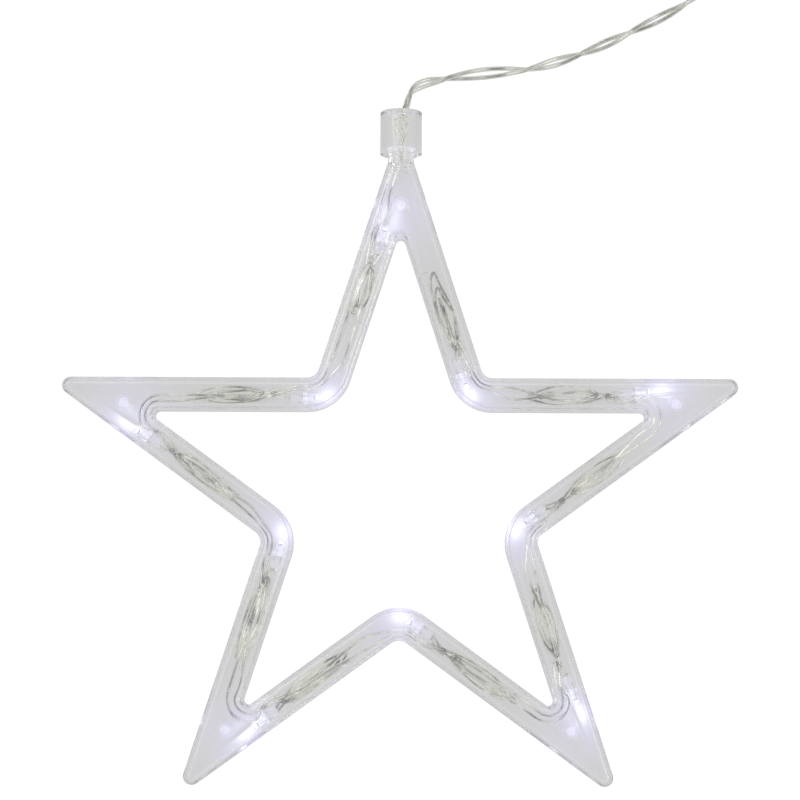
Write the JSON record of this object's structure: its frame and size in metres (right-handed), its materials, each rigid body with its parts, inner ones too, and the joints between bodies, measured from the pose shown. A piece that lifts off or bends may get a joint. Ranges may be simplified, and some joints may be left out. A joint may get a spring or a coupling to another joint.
{
  "type": "star light",
  "caption": "Clear plastic five-pointed star frame with small white lamps and wiring inside, on a clear twisted lead to a battery case with a sliding cover.",
  "frame": {"origin": "centre of the star and its cap in plan, on the surface that its back lies on", "axes": "+Z out of the front face, +Y from the star's middle through its top tip and cap, +X to the right seen from the front"},
  "size_m": [0.2024, 0.2945, 0.0206],
  "materials": {
    "clear_plastic": "clear polystyrene, glossy, faintly grey where it is seen edge on",
    "lamp_lens": "clear epoxy lamp, lit cold white",
    "clear_boot": "clear moulded sleeve over the lamp's leads",
    "clear_wire": "clear insulation over tinned strands, slightly yellow",
    "white_plastic": "fine moulded texture",
    "black_plastic": "moulded, satin",
    "plated_steel": "nickel plated",
    "tie": "white coated wire tie"
  },
  "bodies": {
    "star_light": {"front_shell": "clear_plastic", "back_shell": "clear_plastic", "neck_cap": "clear_plastic", "locating_pin_01": "clear_plastic", "locating_pin_02": "clear_plastic", "locating_pin_03": "clear_plastic", "locating_pin_04": "clear_plastic", "locating_pin_05": "clear_plastic", "lamp_01": "lamp_lens", "lamp_02": "lamp_lens", "lamp_03": "lamp_lens", "lamp_04": "lamp_lens", "lamp_05": "lamp_lens", "lamp_06": "lamp_lens", "lamp_07": "lamp_lens", "lamp_08": "lamp_lens", "lamp_09": "lamp_lens", "lamp_10": "lamp_lens", "lamp_boot_01": "clear_boot", "lamp_boot_02": "clear_boot", "lamp_boot_03": "clear_boot", "lamp_boot_04": "clear_boot", "lamp_boot_05": "clear_boot", "lamp_boot_06": "clear_boot", "lamp_boot_07": "clear_boot", "lamp_boot_08": "clear_boot", "lamp_boot_09": "clear_boot", "lamp_boot_10": "clear_boot", "wire_run_00": "clear_wire", "wire_run_01": "clear_wire", "wire_run_02": "clear_wire", "wire_run_03": "clear_wire", "wire_run_04": "clear_wire", "wire_run_05": "clear_wire", "wire_run_06": "clear_wire", "wire_run_07": "clear_wire", "wire_run_08": "clear_wire", "wire_run_09": "clear_wire", "wire_run_10": "clear_wire", "cord_knot": "clear_wire", "cord_lead": "clear_wire", "cord_tail": "clear_wire", "cord_coil": "clear_wire", "battery_case": "white_plastic", "cord_gland": "white_plastic", "contact_spring_01": "plated_steel", "contact_spring_02": "plated_steel", "contact_spring_03": "plated_steel", "contact_plate_01": "plated_steel", "contact_plate_02": "plated_steel", "contact_plate_03": "plated_steel", "switch_body": "plated_steel", "cord_tie": "tie"},
    "battery_cover": {"battery_cover": "white_plastic"},
    "switch_slider": {"switch_slider": "black_plastic"}
  },
  "joints": [
    {"name": "cover_slide", "type": "slide", "parent": "star_light", "child": "battery_cover", "axis": [-1, 0, 0], "range_m": [0, 0.06]},
    {"name": "switch_slide", "type": "slide", "parent": "star_light", "child": "switch_slider", "axis": [0, 1, 0], "range_m": [0, 0.0044]}
  ]
}
